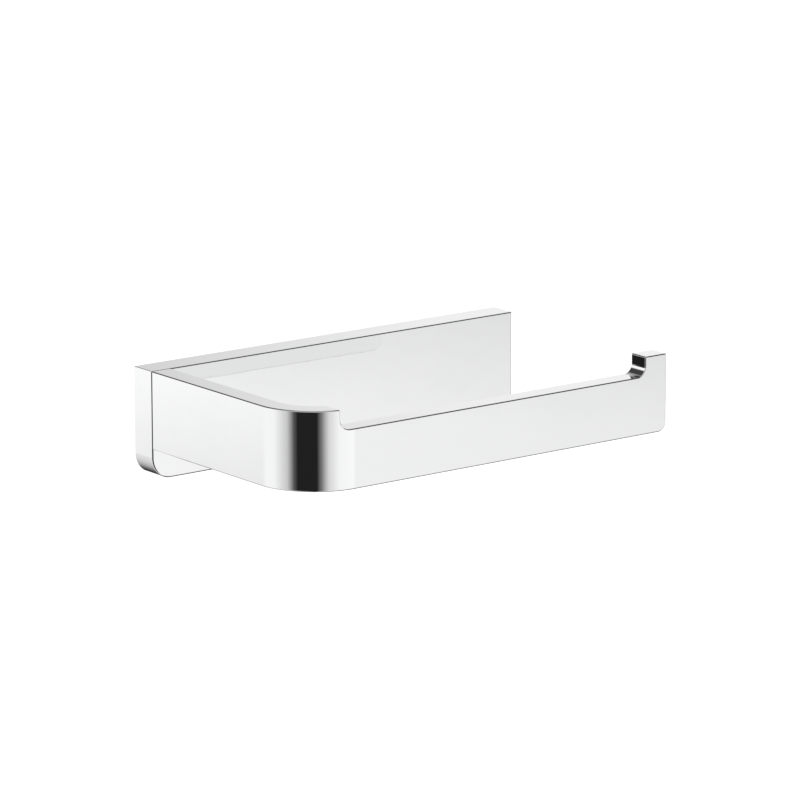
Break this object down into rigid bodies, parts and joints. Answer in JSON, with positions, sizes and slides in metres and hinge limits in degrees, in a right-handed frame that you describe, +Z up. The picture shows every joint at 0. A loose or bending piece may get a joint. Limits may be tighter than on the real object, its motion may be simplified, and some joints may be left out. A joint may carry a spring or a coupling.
{
  "type": "toilet paper holder",
  "caption": "Open-ended wall-mounted toilet paper holder: flat rectangular cover plate with a bent flat-bar arm, notched for the roll, on a concealed wall bracket.",
  "frame": {"origin": "centre of the wall plate's outline, in the wall plane that the bracket's back bears on", "axes": "+X along the plate and the front bar, from the arm's root to the bar's free end; +Y into the wall, so the front faces -Y; +Z up"},
  "size_m": [0.16, 0.1357, 0.039],
  "materials": {
    "chrome_polished": "mirror polished chrome over brass, very low roughness with faint polishing haze",
    "bracket_steel": "zinc plated steel, satin with a slight bluish cast and spangle",
    "stainless": "turned stainless steel fasteners, satin",
    "black_steel": "black oxide set screws, slightly oily",
    "plug_nylon": "moulded grey nylon, matt"
  },
  "bodies": {
    "wall_mount": {"wall_bracket": "bracket_steel", "wall_washer_left": "bracket_steel", "wall_washer_right": "bracket_steel", "wall_screw_left": "bracket_steel", "wall_screw_right": "bracket_steel", "wall_plug_left": "plug_nylon", "wall_plug_right": "plug_nylon"},
    "holder": {"wall_plate": "chrome_polished", "roll_arm": "chrome_polished", "arm_screw_upper": "stainless", "arm_screw_lower": "stainless", "arm_lock_washer_upper": "stainless", "arm_lock_washer_lower": "stainless", "arm_dowel_upper": "stainless", "arm_dowel_lower": "stainless"},
    "set_screw_left": {"set_screw_left": "black_steel"},
    "set_screw_right": {"set_screw_right": "black_steel"}
  },
  "joints": [
    {"name": "holder_pull", "type": "slide", "parent": "wall_mount", "child": "holder", "axis": [0, -1, 0], "range_m": [0, 0.02]},
    {"name": "set_screw_left_travel", "type": "slide", "parent": "holder", "child": "set_screw_left", "axis": [0, 0, -1], "range_m": [0, 0.0032]},
    {"name": "set_screw_right_travel", "type": "slide", "parent": "holder", "child": "set_screw_right", "axis": [0, 0, -1], "range_m": [0, 0.0032]}
  ]
}
